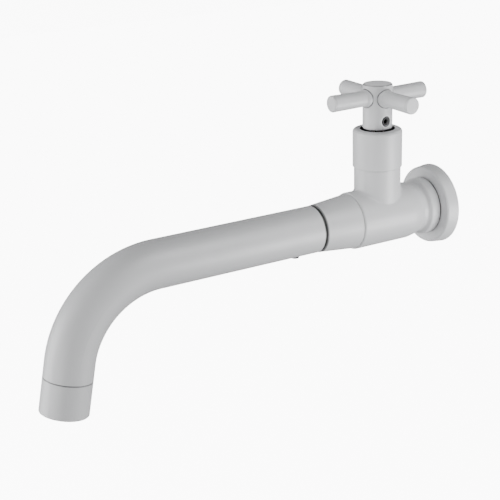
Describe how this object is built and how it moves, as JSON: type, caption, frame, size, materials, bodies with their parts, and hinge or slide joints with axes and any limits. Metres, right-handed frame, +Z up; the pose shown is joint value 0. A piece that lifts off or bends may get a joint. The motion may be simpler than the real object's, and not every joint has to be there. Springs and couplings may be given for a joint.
{
  "type": "cold water tap",
  "caption": "Wall-mounted tap with an upright cross-handle valve and a long bent swivel spout, in a plain matt grey finish.",
  "frame": {"origin": "centre of the wall flange's back face, in the plane of the wall", "axes": "+Y into the wall along the inlet, -Y out along the spout, +Z up along the valve, +X to the right when facing the wall"},
  "size_m": [0.0666, 0.2796, 0.1572],
  "materials": {
    "grey_finish": "fine matt light grey coating",
    "brass": "turned",
    "rubber": "black, matt",
    "black_plastic": "black, smooth",
    "white_plastic": "off-white, moulded",
    "stainless": "bright",
    "black_steel": "blackened",
    "ceramic": "lapped"
  },
  "bodies": {
    "tap_body": {"wall_flange": "grey_finish", "flange_gasket": "rubber", "inlet_nipple": "brass", "body_casting": "grey_finish", "cartridge_housing": "brass", "cartridge_o_ring": "rubber", "seat_seal": "rubber", "fixed_disc": "ceramic", "bonnet_sleeve": "grey_finish", "outlet_connector": "grey_finish", "connector_seal": "rubber", "spigot_o_rings": "rubber", "slip_ring": "black_plastic"},
    "handle": {"handle_hub": "grey_finish", "handle_arm_1": "grey_finish", "handle_arm_2": "grey_finish", "handle_arm_3": "grey_finish", "handle_arm_4": "grey_finish", "handle_cap": "grey_finish", "handle_set_screw": "black_steel", "spindle": "brass", "spindle_washer": "white_plastic", "spindle_o_rings": "rubber", "circlip": "stainless", "moving_disc": "ceramic"},
    "spout": {"spout_tube": "grey_finish", "spout_socket": "brass", "spout_set_screw": "black_steel", "outlet_insert": "brass", "aerator_collar": "grey_finish", "aerator_washer": "rubber", "aerator_cartridge": "white_plastic", "aerator_screen": "stainless"}
  },
  "joints": [
    {"name": "handle_turn", "type": "hinge", "parent": "tap_body", "child": "handle", "pos_m": [0, -0.0437, 0.0541], "axis": [0, 0, 1], "range_deg": [0, 90]},
    {"name": "spout_swivel", "type": "hinge", "parent": "tap_body", "child": "spout", "pos_m": [0, -0.1034, 0], "axis": [0, 1, 0], "continuous": true}
  ]
}
